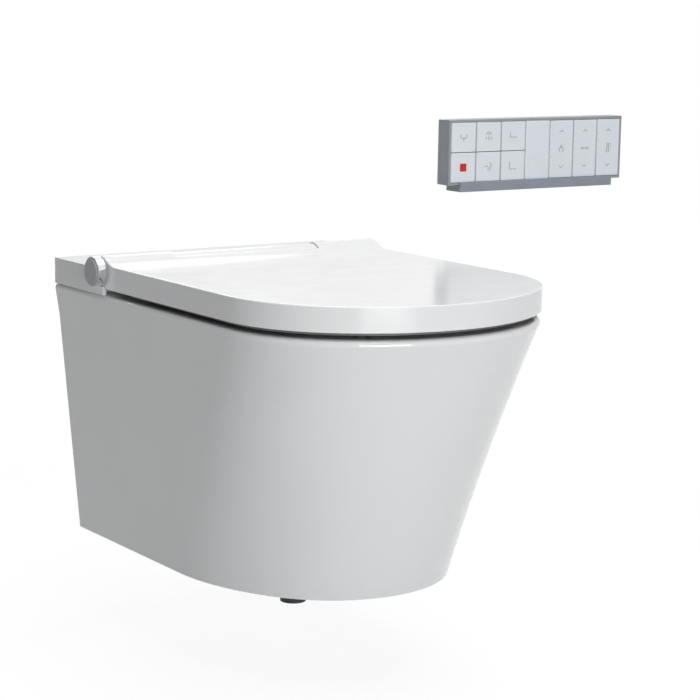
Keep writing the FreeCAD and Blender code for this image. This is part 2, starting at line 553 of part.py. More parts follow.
keep("left_hinge_tube", tube("x", "pin_r", "spindle_r + tube_gap", (f"-{HUB_END}", f"-{PIN_INNER}"), AXIS_Y, AXIS_Z))
keep("right_hinge_pin", rod("x", "pin_r", (PIN_INNER, f"{HUB_END} - blind_end"), AXIS_Y, AXIS_Z))
encoder_x = (f"-{PIN_INNER} + blind_gap", f"-{PIN_INNER} + encoder_long")
encoder = box(encoder_x, (f"{AXIS_Y} - encoder_half", f"{AXIS_Y} + encoder_half"),
              (f"{AXIS_Z} - encoder_half", f"{AXIS_Z} + encoder_half"))
encoder_bore = rod("x", "spindle_r + encoder_gap", (f"-{PIN_INNER} - 1", f"-{PIN_INNER} + encoder_long - encoder_end"),
                   AXIS_Y, AXIS_Z)
keep("knob_encoder", cut(encoder, encoder_bore))

# ---------------------------------------------------------------- units inside the housing


def unit(label, x, wide, back, deep, high):
    item = box((x, f"{x} + {wide}"), (f"-({back}) - ({deep})", f"-({back})"), (UNIT_Z, f"{UNIT_Z} + {high}"))
    return keep(label, item)


unit("water_heater", TANK_X, "tank_wide", "unit_back", "tank_deep", "tank_high")
unit("solenoid_valve", VALVE_X, "valve_wide", "unit_back", "valve_deep", "valve_high")
unit("water_pump", PUMP_X, "pump_wide", "unit_back", "pump_deep", "pump_high")
unit("power_supply", POWER_X, "power_wide", "power_y", "power_deep", "power_high")
unit("carbon_filter", f"-{FILTER_X} - filter_wide", "filter_wide", "unit_back", "tank_deep", "fan_high")
board_x = (f"-({BLOWER_X} - blower_r - board_left)", f"{TANK_X} - board_right")
keep("control_board", box(board_x, ("-board_y", "-unit_back"),
                          ("rim_z + board_z", "rim_z + board_z + board")))
keep("inlet_connector", tube("y", "thread_r", "thread_bore_r", ("-unit_back", "0"), THREAD_X, THREAD_Z))

BLOWER = (f"-{BLOWER_X}", "-blower_y")
blower_outer = rod("z", "blower_r", (UNIT_Z, f"{UNIT_Z} + blower_high"), *BLOWER)
blower_inner = rod("z", "blower_r - thin", (f"{UNIT_Z} + thin", f"{UNIT_Z} + blower_high - thin"), *BLOWER)
blower_eye = rod("z", "blower_r / 2", (f"{UNIT_Z} + thin", f"{UNIT_Z} + blower_high + 1"), *BLOWER)
keep("blower_housing", cut(blower_outer, blower_inner, blower_eye))
rotor_span = (f"{UNIT_Z} + thin + rotor_gap", f"{UNIT_Z} + blower_high - thin - rotor_gap")


def impeller(label, radius, span, centre, blades):
    """Fan wheel: a disc with a hub and straight radial blades."""
    low, high = span
    disc = rod("z", radius, (low, f"{low} + thin"), *centre)
    hub = rod("z", f"({radius}) / 4", span, *centre)
    parts = [disc, hub]
    for index in range(blades):
        blade = doc.addObject("Part::Box", "blade")
        bind(blade, Length=f"({radius}) - rotor_gap", Width="blade", Height=f"({high}) - ({low})")
        turn = FreeCAD.Rotation(FreeCAD.Vector(0, 0, 1), 360.0 * index / blades)
        blade.Placement = FreeCAD.Placement(FreeCAD.Vector(), turn)
        parts.append(at(blade, *centre, low))
    return keep(label, join(*parts))


impeller("blower_rotor", "blower_r - thin - rotor_gap", rotor_span, BLOWER, 12)

FAN = (f"-{FAN_X}", "-fan_y")
fan_outer = rod("z", "fan_r", (UNIT_Z, f"{UNIT_Z} + fan_high"), *FAN)
fan_inner = rod("z", "fan_r - thin", (f"{UNIT_Z} + thin", f"{UNIT_Z} + fan_high + 1"), *FAN)
keep("deodoriser_housing", cut(fan_outer, fan_inner))
impeller("deodoriser_fan", "fan_r - thin - rotor_gap", (f"{UNIT_Z} + thin + rotor_gap", f"{UNIT_Z} + fan_high - 1"),
         FAN, 8)

# ---------------------------------------------------------------- warm air duct and its flap


def slope_box(wide, high, start, stop, low="0"):
    """Box on the nozzle's slope; start and stop are distances down the slope from the duct's start."""
    item = doc.addObject("Part::Box", "slope_box")
    bind(item, Length=wide, Width=high, Height=f"({stop}) - ({start})")
    item.Placement = FreeCAD.Placement(FreeCAD.Vector(), FreeCAD.Rotation(FreeCAD.Vector(1, 0, 0), 90))
    item.setExpression("Placement.Rotation.Angle", ex("90 + nozzle_tilt"))
    down = f"({low}) - ({high}) / 2"
    return at(item, f"-duct_x - ({wide}) / 2",
              f"-duct_y - ({start}) * cos(nozzle_tilt * 1 deg) - ({down}) * sin(nozzle_tilt * 1 deg)",
              f"rim_z + duct_z - ({start}) * sin(nozzle_tilt * 1 deg) + ({down}) * cos(nozzle_tilt * 1 deg)")


duct = slope_box("duct_wide", "duct_high", "0", "duct_long")
duct_bore = slope_box("duct_wide - 2 * duct_wall", "duct_high - 2 * duct_wall", "-1", "duct_long + 1")
keep("dryer_duct", cut(duct, duct_bore))
keep("dryer_heater", slope_box("duct_wide - 2 * (duct_wall + heater_gap)", "duct_high - 2 * (duct_wall + heater_gap)",
                               "heater_start", "heater_start + heater_long"))
keep("dryer_flap", slope_box("duct_wide", "duct_high", "duct_long + flap_gap", "duct_long + flap_gap + flap"))

# ---------------------------------------------------------------- wash nozzle


def slope_rod(radius, start, stop, x="0", lift="0"):
    """Rod along the nozzle's axis; start and stop are distances up the slope from the nozzle's end."""
    item = doc.addObject("Part::Cylinder", "slope_rod")
    bind(item, Radius=radius, Height=f"({stop}) - ({start})")
    return tilted(item, x, f"-nozzle_y - ({lift}) * sin(nozzle_tilt * 1 deg)",
                  f"rim_z - nozzle_z + ({lift}) * cos(nozzle_tilt * 1 deg)", along=f"-({stop})")


keep("nozzle_tube", slope_rod("nozzle_r", "tip_long", "tip_long + nozzle_long"))
tip = slope_rod("tip_r", "0", "tip_long")
jets = []
for index in range(3):
    jet = doc.addObject("Part::Cylinder", "jet")
    bind(jet, Radius="jet_r", Height="2 * tip_r")
    reach = f"(jet_first + {index} * jet_pitch)"
    jets.append(at(jet, "0", f"-nozzle_y + {reach} * cos(nozzle_tilt * 1 deg)",
                   f"rim_z - nozzle_z + {reach} * sin(nozzle_tilt * 1 deg) + tip_r / 2"))
keep("nozzle_tip", cut(tip, *jets))

guide = doc.addObject("Part::Box", "guide")
bind(guide, Length="2 * guide_half", Width="2 * guide_half", Height="guide_long")
guide.Placement = FreeCAD.Placement(FreeCAD.Vector(), FreeCAD.Rotation(FreeCAD.Vector(1, 0, 0), 90))
guide.setExpression("Placement.Rotation.Angle", ex("90 + nozzle_tilt"))
GUIDE_TOP = "(guide_end + guide_long)"
at(guide, "-guide_half",
   f"-nozzle_y + {GUIDE_TOP} * cos(nozzle_tilt * 1 deg) + guide_half * sin(nozzle_tilt * 1 deg)",
   f"rim_z - nozzle_z + {GUIDE_TOP} * sin(nozzle_tilt * 1 deg) - guide_half * cos(nozzle_tilt * 1 deg)")
guide_bore = slope_rod("nozzle_r + nozzle_gap", "guide_end - 1", "guide_end + guide_long + 1")
ROLLER_X = "(nozzle_r + nozzle_gap + roller_r)"


def roller_rod(radius, low, high):
    """Rod square to the nozzle's axis, on the drive roller's centre line."""
    item = doc.addObject("Part::Cylinder", "roller_rod")
    bind(item, Radius=radius, Height=f"({high}) - ({low})")
    item.Placement = FreeCAD.Placement(FreeCAD.Vector(), FreeCAD.Rotation(FreeCAD.Vector(1, 0, 0), 1))
    item.setExpression("Placement.Rotation.Angle", ex("nozzle_tilt"))
    return at(item, ROLLER_X,
              f"-nozzle_y + roller_back * cos(nozzle_tilt * 1 deg) - ({low}) * sin(nozzle_tilt * 1 deg)",
              f"rim_z - nozzle_z + roller_back * sin(nozzle_tilt * 1 deg) + ({low}) * cos(nozzle_tilt * 1 deg)")


guide_window = roller_rod("roller_r + 2 * roller_gap", "-roller_high / 2 - roller_gap", "roller_high / 2 + roller_gap")
keep("nozzle_guide", cut(guide, guide_bore, guide_window))
keep("drive_roller", roller_rod("roller_r", "-roller_high / 2", "roller_high / 2"))
keep("nozzle_motor", roller_rod("motor_r", "roller_high / 2 + motor_gap", "roller_high / 2 + motor_gap + motor_high"))

# ---------------------------------------------------------------- lid

lid = new_body("lid_shell")


def lid_outline(inset, back):
    """The lid's plan, drawn in by inset from the rim's."""
    return d_outline(f"width / 2 - ({inset})", back, f"depth - ({inset})", f"corner_r - ({inset})", f"{NOSE_R} - ({inset})")


extrude(lid, "Pad", plan(lid, LID_LOW, lid_outline("lid_inset", "lid_side_back")), "lid_side")
RAMP_UP = "(ramp_r + lid_gap + lid_side - hinge_rise)"
RAMP_DY = f"sqrt((ramp_r + hub_r) ^ 2 - {RAMP_UP} ^ 2)"
SHARE = "hub_r / (ramp_r + hub_r)"
ridge_points = [(f"{AXIS_Y} - {RAMP_DY}", f"{AXIS_Z} - hub_r"), (f"{AXIS_Y} - {RAMP_DY}", LID_TOP),
                (f"{AXIS_Y} - {RAMP_DY} * {SHARE}", f"{AXIS_Z} + {RAMP_UP} * {SHARE}"),
                (AXIS_Y, f"{AXIS_Z} + hub_r"), (f"{AXIS_Y} + hub_r", AXIS_Z), (AXIS_Y, f"{AXIS_Z} - hub_r")]
ridge_arcs = {1: ("ramp_r", 1), 2: ("hub_r", -1), 3: ("hub_r", -1), 4: ("hub_r", -1)}
ridge = trace(sketch_on(lid, "YZ_Plane", f"-{HUB_END}"), ridge_points, ridge_arcs)
extrude(lid, "Pad", ridge, f"2 * {HUB_END}")


def on_lid_top(edge):
    """Edges round the lid's top: its flat part, the two ramps and the tops of the two hubs."""
    box_ = edge.BoundBox
    flat = box_.ZMin > num(LID_TOP) - 0.01 and box_.ZMax < num(LID_TOP) + 0.01
    ramp_start = num(f"{AXIS_Y} - {RAMP_DY}")
    at_end = min(abs(box_.XMin - num(HUB_END)), abs(box_.XMax + num(HUB_END))) < 0.01 and box_.XLength < 0.01
    front = box_.YMax < ramp_start + 0.01
    return (flat and front and box_.YLength > 0.01) or (at_end and box_.ZMin > num(AXIS_Z) - 0.01 and not front)


fillet(lid, "lid_edge", on_lid_top)
extrude(lid, "Pocket", plan(lid, f"{LID_TOP} - lid_top", lid_outline("lid_inset + lid_wall", "lid_hollow_back")),
        "lid_side - lid_top + 1", forward=False)
NOTCH_X = "barrel_half + notch_gap"
notch = rectangle(sketch_on(lid, "XY_Plane", f"{LID_TOP} + hub_r"), (f"-({NOTCH_X})", NOTCH_X),
                  ("-notch_front", "-hinge_back + hub_r + 1"))
extrude(lid, "Pocket", notch, "lid_side + 2 * hub_r", forward=False)
under_notch = rectangle(sketch_on(lid, "XY_Plane", f"{LID_TOP} - lid_top"), (f"-({NOTCH_X})", NOTCH_X),
                        ("-lid_hollow_back - 1", "-notch_front + 1"))
extrude(lid, "Pocket", under_notch, "lid_side", forward=False)
swing = ring(sketch_on(lid, "YZ_Plane", f"-({NOTCH_X})"), "barrel_r + notch_gap", AXIS_Y, AXIS_Z)
extrude(lid, "Pocket", swing, f"2 * ({NOTCH_X})")
for low in (LUG_FROM, f"-{LUG_TO}"):
    slot = [("-lid_hollow_back - 1", "rim_z + lid_gap - 5"), ("-lid_hollow_back - 1", AXIS_Z),
            (f"{AXIS_Y} - slot_r", AXIS_Z), (AXIS_Y, f"{AXIS_Z} + slot_r"), (f"{AXIS_Y} + slot_r", AXIS_Z),
            (f"{AXIS_Y} + slot_r", "rim_z + lid_gap - 5")]
    outline = trace(sketch_on(lid, "YZ_Plane", low), slot, {2: ("slot_r", -1), 3: ("slot_r", -1)})
    extrude(lid, "Pocket", outline, "lug_long")
left_bore = ring(sketch_on(lid, "YZ_Plane", f"-{HUB_END} - 1"), "pin_r + pin_gap", AXIS_Y, AXIS_Z)
extrude(lid, "Pocket", left_bore, f"{HUB_END} + 1")
right_bore = ring(sketch_on(lid, "YZ_Plane", "0"), "pin_r + pin_gap", AXIS_Y, AXIS_Z)
extrude(lid, "Pocket", right_bore, f"{HUB_END} - blind_end + blind_gap")
DAMPER_END = f"({HUB_END} - damper_wall)"
damper_bore = ring(sketch_on(lid, "YZ_Plane", LUG_TO), "lid_damper_r", AXIS_Y, AXIS_Z)
extrude(lid, "Pocket", damper_bore, f"{DAMPER_END} - {LUG_TO}")
keep("lid_shell", lid)
keep("lid_damper", tube("x", "lid_damper_r", "pin_r + pin_gap", (f"{LUG_TO} + damper_gap", DAMPER_END), AXIS_Y, AXIS_Z))

liner = new_body("lid_liner")
liner_plan = lid_outline("lid_inset + lid_wall + liner_gap", "liner_back")
extrude(liner, "Pad", plan(liner, f"{LID_TOP} - lid_top - liner", liner_plan), "liner")
keep("lid_liner", liner)

BUMPER_SPOTS = (("(width / 2 - bumper_in)", "bumper_back"), ("bumper_front_x", "(depth - bumper_nose)"))
SEAT_TOP = "(rim_z + seat_high)"


def bumpers(label, low, high):
    pads = [rod("z", "bumper_r", (low, high), f"{s} * {x}", f"-{y}") for x, y in BUMPER_SPOTS for s in (-1, 1)]
    return keep(label, join(*pads))


bumpers("lid_bumpers", f"{SEAT_TOP} + bumper_gap", f"{LID_TOP} - lid_top - liner")

# ---------------------------------------------------------------- seat


def seat_ring(body, height, inset):
    """Plan of the seat ring drawn in by inset at both its edges."""
    edge = f"(seat_inset + {inset})"
    sketch = plan(body, height, d_outline(f"width / 2 - {edge}", f"seat_back + {inset}", f"depth - {edge}",
                                          f"corner_r - {edge}", f"{NOSE_R} - {edge}"))
    half = f"width / 2 - ring_side + {inset}"
    trace(sketch, *d_outline(half, f"ring_back - {inset}", f"depth - ring_nose + {inset}",
                             f"ring_corner_r + {inset}", f"{half} + ring_nose_over", f"ring_back_r + {inset}"))
    return sketch


SEAT_MID = "(rim_z + seat_low + seat_base)"
seat = new_body("seat_top")
extrude(seat, "Pad", seat_ring(seat, SEAT_MID, "0"), "seat_high - seat_low - seat_base")


def on_seat_top(edge):
    box_ = edge.BoundBox
    height = num(SEAT_TOP)
    return abs(box_.ZMin - height) < 0.01 and abs(box_.ZMax - height) < 0.01


fillet(seat, "seat_skin + 1", on_seat_top)
extrude(seat, "Pocket", seat_ring(seat, SEAT_MID, "seat_skin"), "seat_high - seat_low - seat_base - seat_roof")
keep("seat_top", seat)

base = new_body("seat_base")
extrude(base, "Pad", seat_ring(base, "rim_z + seat_low", "0"), "seat_base")
arm_points = [("-ring_back + 20", "rim_z + seat_low"), ("-ring_back + 20", SEAT_MID),
              ("-seat_back + 0.5", SEAT_MID), ("-seat_back + 12", f"{AXIS_Z} - lug_r / 2"),
              (f"{AXIS_Y} - lug_r", AXIS_Z), (AXIS_Y, f"{AXIS_Z} + lug_r"), (f"{AXIS_Y} + lug_r", AXIS_Z),
              (AXIS_Y, f"{AXIS_Z} - lug_r"), ("-seat_back + 17", "rim_z + seat_low + 6"),
              ("-seat_back + 7", "rim_z + seat_low")]
arm_arcs = {4: ("lug_r", -1), 5: ("lug_r", -1), 6: ("lug_r", -1)}
for low in (f"{LUG_FROM} + lug_gap", f"-{LUG_TO} + lug_gap"):
    arm = trace(sketch_on(base, "YZ_Plane", low), arm_points, arm_arcs)
    extrude(base, "Pad", arm, "lug_long - 2 * lug_gap")
lug_bore = ring(sketch_on(base, "YZ_Plane", f"-{LUG_TO}"), "pin_r + pin_gap", AXIS_Y, AXIS_Z)
extrude(base, "Pocket", lug_bore, f"2 * {LUG_TO}")
SEAT_DAMPER_X = f"({LUG_FROM} + seat_damper_in)"
seat_damper_bore = ring(sketch_on(base, "YZ_Plane", SEAT_DAMPER_X), "seat_damper_r", AXIS_Y, AXIS_Z)
extrude(base, "Pocket", seat_damper_bore, f"{LUG_TO} - {SEAT_DAMPER_X}")
keep("seat_base", base)
keep("seat_damper", tube("x", "seat_damper_r", "pin_r + pin_gap", (SEAT_DAMPER_X, f"{LUG_TO} - lug_gap"),
                         AXIS_Y, AXIS_Z))

foil = new_body("seat_heater")
extrude(foil, "Pad", seat_ring(foil, f"{SEAT_TOP} - seat_roof - foil", "foil_inset"), "foil")
keep("seat_heater", foil)
bumpers("seat_bumpers", TOP, "rim_z + seat_low")

# ---------------------------------------------------------------- side knob

KNOB_BACK = f"(-{HUB_END} - knob_gap)"
KNOB_FRONT = f"({KNOB_BACK} - knob_long)"
knob_solid = rod("x", "hub_r", (KNOB_FRONT, KNOB_BACK), AXIS_Y, AXIS_Z)
doc.recompute()
knob_round = doc.addObject("Part::Fillet", "knob_round")
knob_round.Base = knob_solid
front_edges = [i + 1 for i, edge in enumerate(knob_solid.Shape.Edges)
               if abs(edge.BoundBox.XMin - num(KNOB_FRONT)) < 0.01 and abs(edge.BoundBox.XMax - num(KNOB_FRONT)) < 0.01]
knob_round.Edges = [(i, num("knob_bevel"), num("knob_bevel")) for i in front_edges]
knob_seat = rod("x", "hub_r - knob_rim", (f"{KNOB_FRONT} - 1", f"{KNOB_FRONT} + knob_cap"), AXIS_Y, AXIS_Z)
knob_bore = rod("x", "spindle_r + pin_gap", (f"{KNOB_FRONT}", f"{KNOB_BACK} + 1"), AXIS_Y, AXIS_Z)
keep("knob_ring", cut(knob_round, knob_seat, knob_bore))
keep("knob_face", rod("x", "hub_r - knob_rim", (f"{KNOB_FRONT} - knob_cap", f"{KNOB_FRONT} + knob_cap"),
                      AXIS_Y, AXIS_Z))
spindle_x = (f"{KNOB_FRONT} + knob_cap + cap_gap", f"-{PIN_INNER} + encoder_long - spindle_end")
keep("knob_spindle", rod("x", "spindle_r", spindle_x, AXIS_Y, AXIS_Z))

# ---------------------------------------------------------------- remote control and its holder

RX, RZ = "remote_x", "remote_z"
HALF_W, HALF_H = "remote_wide / 2", "remote_high / 2"
BACK_Y = "(-holder - remote_gap)"
SPLIT_Y = f"({BACK_Y} - remote_back)"
FACE_Y = f"({SPLIT_Y} - remote_front)"


def wide(half):
    return (f"{RX} - ({half})", f"{RX} + ({half})")


def high(half):
    return (f"{RZ} - ({half})", f"{RZ} + ({half})")


back_outer = box(wide(HALF_W), (SPLIT_Y, BACK_Y), high(HALF_H))
back_inner = box(wide(f"{HALF_W} - remote_wall"), (f"{SPLIT_Y} - 1", f"{BACK_Y} - remote_wall"),
                 high(f"{HALF_H} - remote_wall"))
bay = box(wide("bay_half"), (f"{BACK_Y} - remote_wall - 1", f"{BACK_Y} + 1"), (f"{RZ} - bay_low", f"{RZ} + bay_top"))
keep("remote_back", cut(back_outer, back_inner, bay))
keep("battery_cover", box(wide("bay_half - bay_gap"), (f"{BACK_Y} - bay_cover", BACK_Y),
                          (f"{RZ} - bay_low + bay_gap", f"{RZ} + bay_top - bay_gap")))

COLUMN = "((remote_wide - 2 * frame + rib) / columns)"
ROW_TOP = f"({HALF_H} - frame)"


def column_x(index):
    """Low and high X of a key opening, columns counted from the left."""
    low = f"{RX} - {HALF_W} + frame + {index} * {COLUMN}"
    return (low, f"{low} + {COLUMN} - rib")


front_outer = box(wide(HALF_W), (FACE_Y, SPLIT_Y), high(HALF_H))
front_inner = box(wide(f"{HALF_W} - remote_wall"), (f"{FACE_Y} + face", f"{SPLIT_Y} + 1"),
                  high(f"{HALF_H} - remote_wall"))
openings = [box(column_x(i), (f"{FACE_Y} - 1", f"{FACE_Y} + face + 1"), high(ROW_TOP))
            for i in range(int(SIZES["columns"])) if i != 3]
keep("remote_front", cut(front_outer, front_inner, *openings))
KEY_Y = (f"{FACE_Y} - key_proud", f"{FACE_Y} - key_proud + key_deep")


def key(label, index, low, high_):
    left, right = column_x(index)
    return keep(label, box((f"{left} + key_gap", f"{right} - key_gap"), KEY_Y, (low, high_)))


UPPER = (f"{RZ} + row_gap / 2", f"{RZ} + {ROW_TOP} - key_gap")
LOWER = (f"{RZ} - {ROW_TOP} + key_gap", f"{RZ} - row_gap / 2")
for index, (upper_name, lower_name) in enumerate((("eco_key", "stop_key"), ("dryer_key", "rear_wash_key"),
                                                  ("oscillate_key", "front_wash_key"))):
    key(upper_name, index, *UPPER)
    key(lower_name, index, *LOWER)
for index, label in enumerate(("pressure_rocker", "position_rocker", "temperature_rocker")):
    key(label, index + 4, f"{RZ} - {ROW_TOP} + key_gap + rocker_gap", f"{RZ} + {ROW_TOP} - key_gap - rocker_gap")

keep("remote_board", box(wide(f"{HALF_W} - remote_wall - board_in"),
                         (f"{BACK_Y} - board_back - remote_board", f"{BACK_Y} - board_back"),
                         high(f"{HALF_H} - remote_wall - board_in")))
cells = []
for place in (0, 1):
    cell_z = f"{RZ} - bay_low + cell_low + cell_r + {place} * (2 * cell_r + cell_gap)"
    cells.append(rod("x", "cell_r", wide("cell_long / 2"), f"{BACK_Y} - cell_back", cell_z))
keep("batteries", join(*cells))

LIP_Y = f"({FACE_Y} - key_proud - lip_gap)"
SHELF_TOP = f"({RZ} - {HALF_H} - shelf_gap)"
holder_plate = box(wide("holder_half"), ("-holder", "0"), (f"{SHELF_TOP} - shelf", f"{RZ} + holder_top"))
holder_shelf = box(wide("holder_half"), (f"{LIP_Y} - lip", "0"), (f"{SHELF_TOP} - shelf", SHELF_TOP))
holder_lip = box(wide("holder_half"), (f"{LIP_Y} - lip", LIP_Y), (f"{SHELF_TOP} - shelf",
                                                               f"{RZ} - {HALF_H} + lip_high"))
HOLDER_Z = f"{RZ} + holder_top / 2"
holder_holes = []
for side in (-1, 1):
    spot = (f"{RX} + {side} * holder_hole_x", HOLDER_Z)
    holder_holes.append(rod("y", "holder_hole_r", ("-holder - 1", "1"), *spot))
keep("remote_holder", cut(join(holder_plate, holder_shelf, holder_lip), *holder_holes))

# ---------------------------------------------------------------- checks and files

doc.recompute()
bad = [item.Name for item in doc.Objects if "Invalid" in item.State or "Error" in item.State]
if bad:
    raise RuntimeError("failed: " + ", ".join(bad))
for body in [item for item in NODES if item.TypeId == "PartDesign::Body"]:
    before = None
    for feature in [item for item in body.Group if item.TypeId.startswith("PartDesign::")]:
        volume = feature.Shape.Volume
        if before is not None:
            grows = "Pad" in feature.TypeId or "Additive" in feature.TypeId
            shrinks = "Pocket" in feature.TypeId or "Subtractive" in feature.TypeId
            if (grows and volume <= before) or (shrinks and volume >= before):
                raise RuntimeError("no effect: %s in %s" % (feature.Name, body.Label))
        before = volume
os.makedirs("parts", exist_ok=True)
for item in NODES:
    shape = item.Shape
    if shape.isNull() or not shape.isValid():
        raise RuntimeError("bad shape: " + item.Label)
    shape.exportStep("parts/%s.step" % item.Label)
print(len(NODES), "sub-parts")
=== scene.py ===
"""A wall-hung ceramic smart toilet with a heated seat, its side knob and its wall remote control."""

import math

import bpy
import numpy as np
from mathutils import Matrix, Vector


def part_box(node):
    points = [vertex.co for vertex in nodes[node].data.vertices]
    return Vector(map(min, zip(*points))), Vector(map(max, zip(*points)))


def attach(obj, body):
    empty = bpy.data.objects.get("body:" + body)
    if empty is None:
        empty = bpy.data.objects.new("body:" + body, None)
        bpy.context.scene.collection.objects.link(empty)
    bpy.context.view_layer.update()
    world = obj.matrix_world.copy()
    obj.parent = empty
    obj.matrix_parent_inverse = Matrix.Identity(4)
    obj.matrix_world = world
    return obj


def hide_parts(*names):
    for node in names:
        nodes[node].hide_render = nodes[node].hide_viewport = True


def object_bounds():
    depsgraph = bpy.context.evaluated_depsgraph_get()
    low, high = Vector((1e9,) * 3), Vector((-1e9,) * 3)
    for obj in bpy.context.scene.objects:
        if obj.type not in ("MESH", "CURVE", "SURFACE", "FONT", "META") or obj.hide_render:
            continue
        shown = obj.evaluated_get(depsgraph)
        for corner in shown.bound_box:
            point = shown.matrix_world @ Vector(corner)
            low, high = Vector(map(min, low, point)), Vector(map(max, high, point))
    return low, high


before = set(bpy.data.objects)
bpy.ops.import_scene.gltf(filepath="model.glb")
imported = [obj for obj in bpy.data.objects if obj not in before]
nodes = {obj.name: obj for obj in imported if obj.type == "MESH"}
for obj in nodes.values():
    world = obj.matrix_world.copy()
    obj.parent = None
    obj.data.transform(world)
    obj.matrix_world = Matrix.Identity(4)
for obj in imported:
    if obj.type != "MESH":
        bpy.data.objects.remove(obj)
cad_low, cad_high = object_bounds()

# ------------------------------------------------------------------ the view
# The camera stands to the left and in front of the toilet, about eye high for someone seated, and looks
# a little down. The values are the ones that lay the pan, the lid and the knob over the photograph.

EYE = Vector((-1.29531, -2.20249, 0.42649))
YAW, PITCH, ROLL = math.radians(34.82), math.radians(9.80), math.radians(1.00)
LENS, SENSOR = 107.19, 36.0
CLIP_NEAR, CLIP_FAR = 0.05, 60.0

look = Vector((math.sin(YAW) * math.cos(PITCH), math.cos(YAW) * math.cos(PITCH), -math.sin(PITCH)))
level = look.cross(Vector((0, 0, 1))).normalized()
right = Matrix.Rotation(-ROLL, 3, look) @ level
camera = bpy.data.objects.new("camera", bpy.data.cameras.new("camera"))
bpy.context.scene.collection.objects.link(camera)
camera.data.lens, camera.data.sensor_width = LENS, SENSOR
camera.data.clip_start, camera.data.clip_end = CLIP_NEAR, CLIP_FAR
turn = Matrix((right, right.cross(look), -look)).transposed()
camera.matrix_world = Matrix.Translation(EYE) @ turn.to_4x4()
bpy.context.scene.camera = camera

# ------------------------------------------------------------------ the studio
# A pale floor in a white room, and three soft lamps: one overhead, one in front that leaves the pan's left
# flank in half shade, and a weak one behind. Gloss mirrors the same room, white at the floor and on the
# right, with a pale grey wall from the horizon up on the left.

ROOM_LIGHT, ROOM_COLOUR = 0.02, (0.97, 0.985, 1.0)

# Each lamp's name, its place, the point that it faces, its width and height, and its power in watts.
LAMPS = (
    ("overhead_lamp", (0.15, -0.55, 2.2), (0.0, -0.25, 0.1), (2.6, 2.0), 48.0),
    ("front_lamp", (-0.66, -3.2, 0.30), (0.0, -0.3, -0.05), (1.5, 1.2), 42.0),
    ("back_lamp", (0.9, 2.4, 1.5), (0.0, -0.1, 0.0), (1.6, 1.2), 18.0),
)

# The wall starts between the two heights of WALL_FOOT, on a sphere of radius 1. Its right edge is the great
# circle through the two directions of WALL_EDGE, in degrees, and blurs by WALL_EDGE_SOFT to each side.
WALL_GREY = 0.73
WALL_FOOT = (0.03, 0.06)
WALL_EDGE = ((34.6, 8.0), (35.6, 7.3))
WALL_EDGE_SOFT = 0.006

# The floor glows a little less under the object than far off, and hides most of what the lamps do to it.
FLOOR_BELOW = 0.10
FLOOR_HALF = 6.0
FLOOR_GREY = (0.60, 0.61, 0.62)
FLOOR_NEAR, FLOOR_FAR = 0.91, 1.0
FLOOR_FADE = (0.8, 2.6)
FLOOR_HIDES = 0.78


def add_node(tree, kind, inputs=None, **settings):
    """A shader node with its settings and its inputs, each input a value or another node's output."""
    made = tree.nodes.new("ShaderNode" + kind)
    for setting, value in settings.items():
        setattr(made, setting, value)
    for socket, value in (inputs or {}).items():
        if isinstance(value, bpy.types.NodeSocket):
            tree.links.new(value, made.inputs[socket])
        else:
            made.inputs[socket].default_value = value
    return made


def carried(tree, value, source=(0.0, 1.0), target=(0.0, 1.0)):
    """A value carried in proportion from the source's span to the target's, and held inside it."""
    ends = {"From Min": source[0], "From Max": source[1], "To Min": target[0], "To Max": target[1]}
    return add_node(tree, "MapRange", {"Value": value, **ends}).outputs[0]


def between(tree, factor, first, second):
    """The colour at a factor of the way from the first colour to the second."""
    mix = add_node(tree, "Mix", {"Factor": factor, "A": first, "B": second}, data_type="RGBA")
    return mix.outputs["Result"]


def combined(tree, operation, *values):
    """All the values taken together by one operation, such as their product or the largest of them."""
    total = values[0]
    for value in values[1:]:
        total = add_node(tree, "Math", {0: total, 1: value}, operation=operation).outputs[0]
    return total


def direction(azimuth, elevation):
    """Unit vector that points azimuth degrees from +Y towards +X, and elevation degrees up."""
    azimuth, elevation = math.radians(azimuth), math.radians(elevation)
    return Vector((math.sin(azimuth) * math.cos(elevation), math.cos(azimuth) * math.cos(elevation),
                   math.sin(elevation)))


world = bpy.data.worlds.new("studio")
bpy.context.scene.world = world
world.use_nodes = True
sky = world.node_tree
sky.nodes.clear()
ray = add_node(sky, "LightPath")
outwards = add_node(sky, "TexCoord").outputs["Generated"]
upward = add_node(sky, "SeparateXYZ", {0: outwards})
above = carried(sky, upward.outputs["Z"], WALL_FOOT)
edge_side = direction(*WALL_EDGE[0]).cross(direction(*WALL_EDGE[1])).normalized()
across_edge = add_node(sky, "VectorMath", {0: outwards, 1: edge_side}, operation="DOT_PRODUCT")
left_of = carried(sky, across_edge.outputs["Value"], (-WALL_EDGE_SOFT, WALL_EDGE_SOFT))
mirrored = combined(sky, "MULTIPLY", above, left_of, ray.outputs["Is Glossy Ray"])
room_colour = between(sky, mirrored, (1, 1, 1, 1), (WALL_GREY, WALL_GREY, WALL_GREY, 1))
shown = add_node(sky, "Background", {"Color": room_colour, "Strength": 1.0})
lighting = add_node(sky, "Background", {"Color": (*ROOM_COLOUR, 1), "Strength": ROOM_LIGHT})
seen = combined(sky, "MAXIMUM", ray.outputs["Is Camera Ray"], ray.outputs["Is Glossy Ray"],
                ray.outputs["Is Transmission Ray"])
room = add_node(sky, "MixShader", {0: seen, 1: lighting.outputs[0], 2: shown.outputs[0]})
add_node(sky, "OutputWorld", {"Surface": room.outputs[0]})

for lamp_name, place, target, (across, down), power in LAMPS:
    light = bpy.data.lights.new(lamp_name, "AREA")
    light.shape, light.size, light.size_y, light.energy = "RECTANGLE", across, down, power
    lamp = bpy.data.objects.new(lamp_name, light)
    bpy.context.scene.collection.objects.link(lamp)
    lamp.location = place
    aim = Vector(target) - Vector(place)
    lamp.rotation_euler = aim.to_track_quat("-Z", "Y").to_euler()


